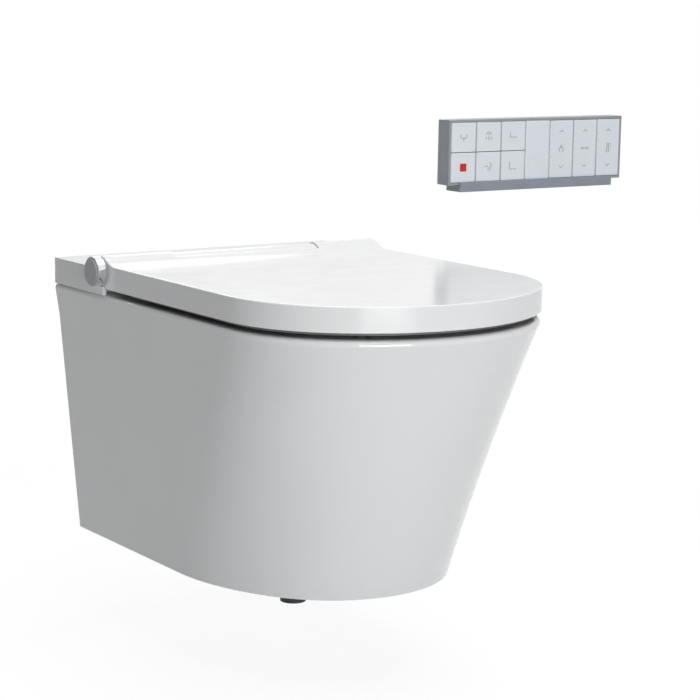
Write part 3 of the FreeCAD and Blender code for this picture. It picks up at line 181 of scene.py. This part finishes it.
def mesh_object(name, points, faces, smooth=True):
    """Makes an object at the origin from arrays of points and faces."""
    mesh = bpy.data.meshes.new(name)
    mesh.from_pydata(np.asarray(points, float).tolist(), [], faces)
    mesh.validate()
    if smooth:
        mesh.shade_smooth()
    else:
        mesh.shade_flat()
    made = bpy.data.objects.new(name, mesh)
    bpy.context.scene.collection.objects.link(made)
    return made


floor_z = cad_low.z - FLOOR_BELOW
floor = mesh_object("floor", [(-FLOOR_HALF, -FLOOR_HALF, floor_z), (FLOOR_HALF, -FLOOR_HALF, floor_z),
                              (FLOOR_HALF, FLOOR_HALF, floor_z), (-FLOOR_HALF, FLOOR_HALF, floor_z)],
                    [(0, 1, 2, 3)], smooth=False)
floor_finish = bpy.data.materials.new("floor_paint")
floor_finish.use_nodes = True
paint = floor_finish.node_tree
paint.nodes.clear()
ray = add_node(paint, "LightPath")
matt = add_node(paint, "BsdfDiffuse", {"Color": (*FLOOR_GREY, 1)}).outputs[0]
spot = add_node(paint, "TexCoord").outputs["Object"]
distance = add_node(paint, "VectorMath", {0: spot}, operation="LENGTH").outputs["Value"]
brightness = carried(paint, distance, FLOOR_FADE, (FLOOR_NEAR, FLOOR_FAR))
glow = add_node(paint, "Emission", {"Strength": brightness})
dimmed = add_node(paint, "MixShader", {0: FLOOR_HIDES, 1: matt})
lifted = add_node(paint, "AddShader", {0: dimmed.outputs[0], 1: glow.outputs[0]})
seen = combined(paint, "MAXIMUM", ray.outputs["Is Camera Ray"], ray.outputs["Is Glossy Ray"])
painted = add_node(paint, "MixShader", {0: seen, 1: matt, 2: lifted.outputs[0]})
add_node(paint, "OutputMaterial", {"Surface": painted.outputs[0]})
floor.data.materials.append(floor_finish)

# ------------------------------------------------------------------ the ceramic pan
# One slip-cast piece of vitreous china, fired with a thick glossy white glaze that pools and ripples a
# little. The face that is clamped to the wall, and the spigot's end, are left unglazed and ground flat.

GLAZE_LIGHT, GLAZE_DEEP = (0.885, 0.888, 0.890), (0.868, 0.872, 0.876)
BISQUE = (0.70, 0.66, 0.60)
GLAZE_ROUGHNESS, BISQUE_ROUGHNESS = 0.07, 0.75
UNGLAZED_FROM = -0.0006
NOISE_MIDDLE = (0.3, 0.7)


def material(name, colour, roughness, **sockets):
    """A material with its shader's own sockets set; a socket's name is written with underscores."""
    made = bpy.data.materials.new(name)
    made.use_nodes = True
    shader = made.node_tree.nodes["Principled BSDF"]
    shader.inputs["Base Color"].default_value = (*colour, 1)
    shader.inputs["Roughness"].default_value = roughness
    for socket, value in sockets.items():
        shader.inputs[socket.replace("_", " ")].default_value = value
    return made


def feed(made, socket, output):
    """Lets a node's output set one of the shader's sockets."""
    made.node_tree.links.new(output, made.node_tree.nodes["Principled BSDF"].inputs[socket])


def pattern(made, size, detail=2.0, stretch=(1, 1, 1)):
    """Noise of cells about size metres wide on the piece's own coordinates; returns its output."""
    tree = made.node_tree
    place = add_node(tree, "TexCoord").outputs["Object"]
    stretched = add_node(tree, "Mapping", {"Vector": place, "Scale": stretch}).outputs[0]
    noise = add_node(tree, "TexNoise", {"Vector": stretched, "Scale": 1.0 / size, "Detail": detail})
    return noise.outputs["Fac"]


def spread(made, factor, low, high):
    """Maps the middle of a 0 to 1 pattern to the span from low to high; returns its output."""
    return carried(made.node_tree, factor, NOISE_MIDDLE, (low, high))


def shades(made, factor, light, deep):
    """Colours the shader from one shade to another by a pattern; returns the mixed colour."""
    mixed = between(made.node_tree, spread(made, factor, 0.0, 1.0), (*light, 1), (*deep, 1))
    feed(made, "Base Color", mixed)
    return mixed


def relief(made, factor, height):
    """Raises the surface by a pattern, height metres at most, on top of the reliefs it already has."""
    bump = add_node(made.node_tree, "Bump", {"Distance": height, "Height": factor})
    before = made.node_tree.nodes["Principled BSDF"].inputs["Normal"]
    if before.is_linked:
        made.node_tree.links.new(before.links[0].from_socket, bump.inputs["Normal"])
    feed(made, "Normal", bump.outputs[0])


def vary_roughness(made, factor, low, high):
    """Makes the shader smoother and rougher by a pattern, between two values of roughness."""
    feed(made, "Roughness", spread(made, factor, low, high))


def beyond(made, axis, side, limit):
    """1 where a place on the piece, along one axis, is on that side of a limit, and 0 elsewhere."""
    tree = made.node_tree
    axes = add_node(tree, "SeparateXYZ", {0: add_node(tree, "TexCoord").outputs["Object"]})
    return add_node(tree, "Math", {0: axes.outputs[axis], 1: limit}, operation=side).outputs[0]


def paint_node(made, *names):
    """Gives CAD nodes a material."""
    for name in names:
        nodes[name].data.materials.clear()
        nodes[name].data.materials.append(made)


glaze = material("white_glaze", GLAZE_LIGHT, GLAZE_ROUGHNESS, Coat_Weight=0.3, Coat_Roughness=0.03,
                 IOR=1.52)
pooled = shades(glaze, pattern(glaze, 0.11), GLAZE_LIGHT, GLAZE_DEEP)
relief(glaze, pattern(glaze, 0.055, detail=1.0), 0.00022)
relief(glaze, pattern(glaze, 0.004, detail=1.0), 0.000004)
bare = beyond(glaze, "Y", "GREATER_THAN", UNGLAZED_FROM)
feed(glaze, "Base Color", between(glaze.node_tree, bare, pooled, (*BISQUE, 1)))
feed(glaze, "Roughness", carried(glaze.node_tree, bare, target=(GLAZE_ROUGHNESS, BISQUE_ROUGHNESS)))
paint_node(glaze, "ceramic_skirt", "ceramic_bowl")

# ------------------------------------------------------------------ plugs, sleeves and seal
# Moulded black rubber: two plugs close the casting's drain holes underneath, a seal sits in the flush inlet.
# The sleeves that centre the wall bolts are dark nylon, as are the tray, the fans, the nozzle's guide and
# motor, the knob's encoder and the dampers.

rubber = material("black_rubber", (0.028, 0.028, 0.030), 0.55, Specular_IOR_Level=0.35)
shades(rubber, pattern(rubber, 0.012), (0.030, 0.030, 0.032), (0.020, 0.020, 0.022))
relief(rubber, pattern(rubber, 0.0012), 0.00003)
paint_node(rubber, "bottom_plugs", "flush_seal", "lid_bumpers", "seat_bumpers")

dark_nylon = material("dark_nylon", (0.10, 0.102, 0.106), 0.42)
shades(dark_nylon, pattern(dark_nylon, 0.02), (0.105, 0.107, 0.112), (0.088, 0.090, 0.094))
vary_roughness(dark_nylon, pattern(dark_nylon, 0.006), 0.34, 0.5)
relief(dark_nylon, pattern(dark_nylon, 0.0008), 0.000012)
paint_node(dark_nylon, "fixing_sleeves", "base_tray", "nozzle_guide", "blower_housing", "blower_rotor",
           "deodoriser_housing", "deodoriser_fan", "dryer_duct", "dryer_flap", "nozzle_motor", "drive_roller",
           "knob_encoder", "lid_damper", "seat_damper")

# ------------------------------------------------------------------ rear housing, lid and seat ring
# Injection-moulded glossy white plastic with the faint ripple that a thick moulding keeps. The seat's lower
# half closes the white one from below; its dark grey is painted shade, for the dark gap under the lid.

SHELL_LIGHT, SHELL_DEEP = (0.900, 0.902, 0.905), (0.888, 0.891, 0.896)

white_plastic = material("white_plastic", SHELL_LIGHT, 0.17, Coat_Weight=0.1, Coat_Roughness=0.10, IOR=1.49)
shades(white_plastic, pattern(white_plastic, 0.16), SHELL_LIGHT, SHELL_DEEP)
vary_roughness(white_plastic, pattern(white_plastic, 0.03), 0.15, 0.19)
relief(white_plastic, pattern(white_plastic, 0.08, detail=1.0), 0.00002)
relief(white_plastic, pattern(white_plastic, 0.0022, detail=1.0), 0.0000015)
paint_node(white_plastic, "housing_shell", "lid_shell", "lid_liner", "seat_top")

# The seat's lower half is coloured dark grey as painted shade in the gap between the lid and the pan.
seat_painted_shade = material("seat_base_painted_shade", (0.125, 0.127, 0.130), 0.5)
shades(seat_painted_shade, pattern(seat_painted_shade, 0.03), (0.130, 0.132, 0.135), (0.112, 0.114, 0.117))
relief(seat_painted_shade, pattern(seat_painted_shade, 0.0009), 0.00001)
paint_node(seat_painted_shade, "seat_base")

# ------------------------------------------------------------------ side knob
# A turned ring, chrome-plated round its side and satin grey on its end, closed by a satin grey cap with fine
# turning lines.

CHROME = (0.80, 0.81, 0.83)
RING_SATIN = (0.46, 0.47, 0.48)
RING_SIDE_ROUGHNESS, RING_END_ROUGHNESS = 0.08, 0.36
RING_END_BAND = 0.0011
RING_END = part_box("knob_ring")[0].x + RING_END_BAND
KNOB_CENTRE = (0.0, -0.114, 0.1074)
TURNING_PITCH = 0.0007
WAVE_LENGTH = 0.31

chrome = material("polished_chrome", CHROME, 0.06, Metallic=1.0)
vary_roughness(chrome, pattern(chrome, 0.004), 0.04, 0.09)
paint_node(chrome, "nozzle_tip")

ring_finish = material("knob_ring_finish", CHROME, RING_SIDE_ROUGHNESS, Metallic=1.0)
tree = ring_finish.node_tree
on_end = beyond(ring_finish, "X", "LESS_THAN", RING_END)
feed(ring_finish, "Base Color", between(tree, on_end, (*CHROME, 1), (*RING_SATIN, 1)))
feed(ring_finish, "Metallic", carried(tree, on_end, target=(1.0, 0.0)))
feed(ring_finish, "Roughness", carried(tree, on_end, target=(RING_SIDE_ROUGHNESS, RING_END_ROUGHNESS)))
relief(ring_finish, pattern(ring_finish, 0.0012), 0.000004)
paint_node(ring_finish, "knob_ring")

cap_grey = material("knob_cap_grey", (0.40, 0.41, 0.42), 0.36)
tree = cap_grey.node_tree
place = add_node(tree, "TexCoord").outputs["Object"]
centred = add_node(tree, "Mapping", {"Vector": place, "Location": tuple(-value for value in KNOB_CENTRE)})
rings = add_node(tree, "TexWave", {"Vector": centred.outputs[0], "Scale": WAVE_LENGTH / TURNING_PITCH,
                                   "Distortion": 0.0}, wave_type="RINGS", rings_direction="X")
shades(cap_grey, pattern(cap_grey, 0.008), (0.41, 0.42, 0.43), (0.37, 0.38, 0.39))
relief(cap_grey, rings.outputs["Fac"], 0.00001)
paint_node(cap_grey, "knob_face")

# ------------------------------------------------------------------ metal parts
# Stainless steel, brushed along its length: the hinge's axle, the spindle, the nozzle's tube and the screws.
# The water inlet is turned from brass.

steel = material("brushed_steel", (0.62, 0.63, 0.64), 0.30, Metallic=1.0)
streaks = pattern(steel, 0.0006, detail=3.0, stretch=(0.05, 1, 1))
vary_roughness(steel, streaks, 0.24, 0.38)
relief(steel, streaks, 0.000006)
paint_node(steel, "left_hinge_tube", "right_hinge_pin", "knob_spindle", "tray_screws", "nozzle_tube")

brass = material("turned_brass", (0.78, 0.62, 0.32), 0.26, Metallic=1.0)
shades(brass, pattern(brass, 0.006), (0.80, 0.64, 0.34), (0.70, 0.54, 0.27))
vary_roughness(brass, pattern(brass, 0.002), 0.2, 0.34)
paint_node(brass, "inlet_connector")

# ------------------------------------------------------------------ units inside
# The water and power units stand in the tray in mid grey moulded cases, beside the filter of pressed
# carbon. The two circuit boards are green, and the heating foils are thin rolled metal.

unit_grey = material("unit_grey", (0.52, 0.53, 0.55), 0.4)
shades(unit_grey, pattern(unit_grey, 0.02), (0.54, 0.55, 0.57), (0.48, 0.49, 0.51))
relief(unit_grey, pattern(unit_grey, 0.001), 0.00001)
paint_node(unit_grey, "water_heater", "solenoid_valve", "water_pump", "power_supply")

carbon = material("pressed_carbon", (0.03, 0.03, 0.03), 0.9)
shades(carbon, pattern(carbon, 0.002), (0.05, 0.05, 0.05), (0.012, 0.012, 0.012))
relief(carbon, pattern(carbon, 0.0016), 0.0004)
paint_node(carbon, "carbon_filter")

board_green = material("board_green", (0.03, 0.20, 0.09), 0.35)
shades(board_green, pattern(board_green, 0.003, detail=0.0), (0.035, 0.24, 0.11), (0.02, 0.15, 0.07))
paint_node(board_green, "control_board", "remote_board")

foil = material("heater_foil", (0.74, 0.73, 0.70), 0.28, Metallic=1.0)
vary_roughness(foil, pattern(foil, 0.01), 0.2, 0.4)
relief(foil, pattern(foil, 0.006), 0.0001)
paint_node(foil, "seat_heater", "dryer_heater")

# ------------------------------------------------------------------ remote control and its holder
# A silver-grey case in two moulded halves, which holds its board and batteries and stands on a folded shelf
# that is screwed to the wall. Six keys and three rockers fill its face between thin ribs.

CASE_SILVER = (0.36, 0.385, 0.42)
HOLDER_GREY = (0.30, 0.335, 0.385)
KEY_PALE = (0.86, 0.91, 0.965)
SIGN_GREY, SIGN_RED = (0.30, 0.33, 0.37), (0.62, 0.012, 0.015)
CASE_ROUND, FRAME_ROUND, HOLDER_ROUND = 0.0012, 0.0003, 0.0005
WELD_REACH, SHARP_ANGLE, ROUND_STEPS = 0.00001, math.radians(40), 2


def deeper(colour, share):
    """The same colour at a share of its brightness."""
    return tuple(share * value for value in colour)


case_silver = material("case_silver", CASE_SILVER, 0.34)
shades(case_silver, pattern(case_silver, 0.02), CASE_SILVER, deeper(CASE_SILVER, 0.93))
relief(case_silver, pattern(case_silver, 0.0006), 0.000008)
holder_paint = material("holder_paint", HOLDER_GREY, 0.4)
shades(holder_paint, pattern(holder_paint, 0.03), HOLDER_GREY, deeper(HOLDER_GREY, 0.94))
relief(holder_paint, pattern(holder_paint, 0.0007), 0.00001)
key_pale = material("key_pale", KEY_PALE, 0.30, Coat_Weight=0.5, Coat_Roughness=0.12)
shades(key_pale, pattern(key_pale, 0.03), KEY_PALE, deeper(KEY_PALE, 0.985))
relief(key_pale, pattern(key_pale, 0.0005), 0.000004)
sign_grey = material("sign_grey", SIGN_GREY, 0.5)
sign_red = material("sign_red", SIGN_RED, 0.4)
battery_wrap = material("battery_wrap", (0.10, 0.16, 0.30), 0.3)
shades(battery_wrap, pattern(battery_wrap, 0.01), (0.11, 0.17, 0.31), (0.08, 0.13, 0.26))
paint_node(case_silver, "remote_back", "battery_cover", "remote_front")
paint_node(holder_paint, "remote_holder")
paint_node(battery_wrap, "batteries")


def soften_edges(name, radius):
    """Rounds the sharp edges of a moulded or folded piece; its flat faces stay flat."""
    weld = nodes[name].modifiers.new("weld", "WELD")
    weld.merge_threshold = WELD_REACH
    bevel = nodes[name].modifiers.new("edge", "BEVEL")
    bevel.width, bevel.segments, bevel.limit_method = radius, ROUND_STEPS, "ANGLE"
    bevel.angle_limit, bevel.harden_normals = SHARP_ANGLE, False


soften_edges("remote_back", CASE_ROUND)
soften_edges("remote_front", FRAME_ROUND)
soften_edges("remote_holder", HOLDER_ROUND)

# ------------------------------------------------------------------ keys and rockers of the remote control
# Thin moulded caps with rounded corners and edges, each dished towards its middle. A sign is printed on each
# in grey lines, or in red on the stop key, and four marks stand beside those of the rockers.

KEY_CORNER, KEY_EDGE, KEY_DISH = 0.0012, 0.0005, 0.00035
EDGE_STEPS, DISH_STEPS = 5, (0.9, 0.7, 0.5, 0.3, 0.1)
SIGN_RISE, SIGN_LINE = 0.00008, 0.0007
SIGN_DEPTH = 0.15
ARROW_HEIGHT = 24
MILLIMETRE = 0.001


def skin(grid):
    """Points and faces of a closed skin: rows of points round a shape, the end rows closed by poles."""
    rows, columns, _ = grid.shape
    points = np.vstack([grid.reshape(-1, 3), grid[0].mean(0), grid[-1].mean(0)])
    row, column = np.meshgrid(np.arange(rows - 1), np.arange(columns), indexing="ij")
    after = (column + 1) % columns
    quads = np.stack([row * columns + column, row * columns + after, (row + 1) * columns + after,
                      (row + 1) * columns + column], axis=-1).reshape(-1, 4)
    edge = np.arange(columns)
    start = np.stack([np.full(columns, rows * columns), (edge + 1) % columns, edge], axis=-1)
    last = (rows - 1) * columns
    end = np.stack([np.full(columns, rows * columns + 1), last + edge, last + (edge + 1) % columns], axis=-1)
    return points, quads.tolist() + start.tolist() + end.tolist()


def rounded_outline(low, high, corner, inset, per_corner=8):
    """Rounded rectangle in X and Z, moved in by inset: each corner is a quarter circle about its centre."""
    centres = np.array([(high[0] - corner, high[1] - corner), (low[0] + corner, high[1] - corner),
                        (low[0] + corner, low[1] + corner), (high[0] - corner, low[1] + corner)])
    angles = np.linspace(0, math.pi / 2, per_corner) + np.arange(4)[:, None] * math.pi / 2
    around = np.stack([np.cos(angles), np.sin(angles)], axis=-1)
    return (centres[:, None, :] + (corner - inset) * around).reshape(-1, 2)


def cap(low, high, front, back, corner, edge, dish):
    """A keycap: a rounded outline carried from the back to the front, its front edge a quarter round.

    The face sinks from its edge to its middle by dish times one minus the square of the way out.
    """
    rows = [(0.0, back, 1.0)]
    for angle in np.linspace(0, math.pi / 2, EDGE_STEPS):
        rows.append((edge * (1 - math.cos(angle)), front + edge * (1 - math.sin(angle)), 1.0))
    for way_out in DISH_STEPS:
        rows.append((edge, front + dish * (1 - way_out ** 2), way_out))
    middle = (np.array(low) + np.array(high)) / 2
    grid = []
    for inset, depth, way_out in rows:
        outline = middle + (rounded_outline(low, high, corner, inset) - middle) * way_out
        grid.append(np.stack([outline[:, 0], np.full(len(outline), depth), outline[:, 1]], axis=-1))
    return skin(np.array(grid))


def stroke(path, width, front, back):
    """A printed line: a flat bar carried along a path of X and Z points, square to it."""
    path = np.asarray(path, float)
    ahead = np.gradient(path, axis=0)
    ahead /= np.linalg.norm(ahead, axis=1)[:, None]
    side = np.stack([-ahead[:, 1], ahead[:, 0]], axis=-1) * width / 2
    left, right_ = path + side, path - side
    grid = np.stack([np.insert(left, 1, front, axis=1), np.insert(right_, 1, front, axis=1),
                     np.insert(right_, 1, back, axis=1), np.insert(left, 1, back, axis=1)], axis=1)
    return skin(grid)


def arc(centre, radius, start, stop, points=16):
    """An arc in X and Z: the centre plus radius times cosine and sine, from start to stop in degrees."""
    angles = np.radians(np.linspace(start, stop, points))
    return np.stack([centre[0] + radius * np.cos(angles), centre[1] + radius * np.sin(angles)], axis=-1)


def line(*ends):
    """A straight or bent line through points in X and Z."""
    return np.array(ends, float)


def at_height(lines, rise):
    """The same lines, moved up by rise."""
    return [some + np.array([0, rise]) for some in lines]


def joined(parts):
    """One set of points and faces from several."""
    points, faces, count = [], [], 0
    for some_points, some_faces in parts:
        points.append(some_points)
        faces += [[index + count for index in face] for face in some_faces]
        count += len(some_points)
    return np.vstack(points), faces


def add_cap(name):
    """Keycap over its CAD solid, which moves with the key's own body; returns the solid's two corners."""
    low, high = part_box(name)
    points, faces = cap((low.x, low.z), (high.x, high.z), low.y, high.y, KEY_CORNER, KEY_EDGE, KEY_DISH)
    made = mesh_object(name + "_cap", points, faces)
    made.data.materials.append(key_pale)
    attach(made, name + "_body")
    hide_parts(name)
    return low, high


def add_sign(name, points, faces, ink, smooth):
    """Printed sign that moves with its key."""
    sign = mesh_object(name + "_sign", points, faces, smooth)
    sign.data.materials.append(ink)
    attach(sign, name + "_body")


def add_key(name, lines):
    """Keycap with a sign of grey lines, given in millimetres about the middle of the cap."""
    low, high = add_cap(name)
    middle = np.array([(low.x + high.x) / 2, (low.z + high.z) / 2])
    front = low.y + SIGN_DEPTH * KEY_DISH - SIGN_RISE
    back = front + KEY_DISH + SIGN_RISE
    parts = [stroke(middle + some * MILLIMETRE, SIGN_LINE, front, back) for some in lines]
    add_sign(name, *joined(parts), sign_grey, smooth=False)


TAP_SIGN = [line((-5, 4), (-5, 0), (-1, -1.5), (1, -1.5), (5, 0), (5, 4)), line((0, -1.5), (0, -5))]
WARM_AIR_SIGN = [arc((0, 1.5), 4.5, 20, 160), line((-4, -0.5), (-4.8, -3.4)), line((0, 0.5), (0, -4.5)),
                 line((4, -0.5), (4.8, -3.4)), line((-1.6, 3.2), (1.6, 3.2))]
REAR_WASH_SIGN = [line((-6, 0.5), (-2, 0.5), (-1, -0.5)), arc((2, 1.8), 3.0, 90, -90),
                  line((1.6, -1.2), (1.6, -5)), line((-1.8, -3.4), (-0.8, -4.6)),
                  line((4.4, -3.0), (3.6, -4.4))]
SEAT_SIGN = [line((-5.5, 4.5), (-5.5, -1.5), (6, -1.5))]
SEAT_LOW_SIGN = [line((-5.5, 5), (-5.5, -4.5), (6, -4.5))]
UP_SIGN = [line((-3.2, -1.4), (0, 1.6), (3.2, -1.4))]
DOWN_SIGN = [line((-3.2, 1.4), (0, -1.6), (3.2, 1.4))]
PRESSURE_SIGN = [arc((0, -1), 3.4, -50, 230), line((-2.2, 1.7), (0, 5.2), (2.2, 1.7))]
POSITION_SIGN = [line((-6, 0), (6, 0)), line((-4.2, 1.4), (-6, 0), (-4.2, -1.4)),
                 line((4.2, 1.4), (6, 0), (4.2, -1.4))]
WARMTH_SIGN = [line((-1.2, 6), (-1.2, -2.5)), line((1.2, 6), (1.2, -2.5)), arc((0, -4.2), 2.3, 120, 420),
               line((3.6, 4.5), (5.6, 4.5)), line((3.6, 1.5), (5.6, 1.5))]
LEVEL_MARKS = [line((-17.6, height), (-16.6, height)) for height in (20, 10, 0, -10)]

add_key("eco_key", TAP_SIGN)
add_key("dryer_key", WARM_AIR_SIGN)
add_key("rear_wash_key", REAR_WASH_SIGN)
add_key("oscillate_key", SEAT_SIGN)
add_key("front_wash_key", SEAT_LOW_SIGN)
for rocker, middle_sign in (("pressure_rocker", PRESSURE_SIGN), ("position_rocker", POSITION_SIGN),
                            ("temperature_rocker", WARMTH_SIGN)):
    add_key(rocker, at_height(UP_SIGN, ARROW_HEIGHT) + middle_sign + at_height(DOWN_SIGN, -ARROW_HEIGHT)
            + LEVEL_MARKS)

# The stop key's sign is a plain red square with rounded corners.

STOP_HALF, STOP_CORNER = 0.0052, 0.0008
stop_low, stop_high = add_cap("stop_key")
stop_x, stop_z = (stop_low.x + stop_high.x) / 2, (stop_low.z + stop_high.z) / 2
points, faces = cap((stop_x - STOP_HALF, stop_z - STOP_HALF), (stop_x + STOP_HALF, stop_z + STOP_HALF),
                    stop_low.y - SIGN_RISE, stop_low.y + KEY_DISH * 2, STOP_CORNER, SIGN_RISE, 0.0)
add_sign("stop_key", points, faces, sign_red, smooth=True)

# The face panel between the keys and the rockers is one more pale plate, fixed in the case and left bare.

KEY_GAP, RIB = 0.0004, 0.0012
PANEL_RISE, PANEL_SUNK = 0.0006, 0.0005
panel_low, panel_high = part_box("front_wash_key")[1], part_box("pressure_rocker")[0]
key_bottom, key_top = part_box("front_wash_key")[0].z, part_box("oscillate_key")[1].z
case_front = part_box("remote_front")[0].y
points, faces = cap((panel_low.x + KEY_GAP + RIB, key_bottom), (panel_high.x - KEY_GAP - RIB, key_top),
                    case_front - PANEL_RISE, case_front + PANEL_SUNK, KEY_CORNER, KEY_EDGE, 0.0)
panel = mesh_object("face_panel", points, faces)
panel.data.materials.append(key_pale)
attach(panel, "remote")

# ------------------------------------------------------------------ colour view
# Colours show as they are written.

bpy.context.scene.view_settings.view_transform = "Standard"
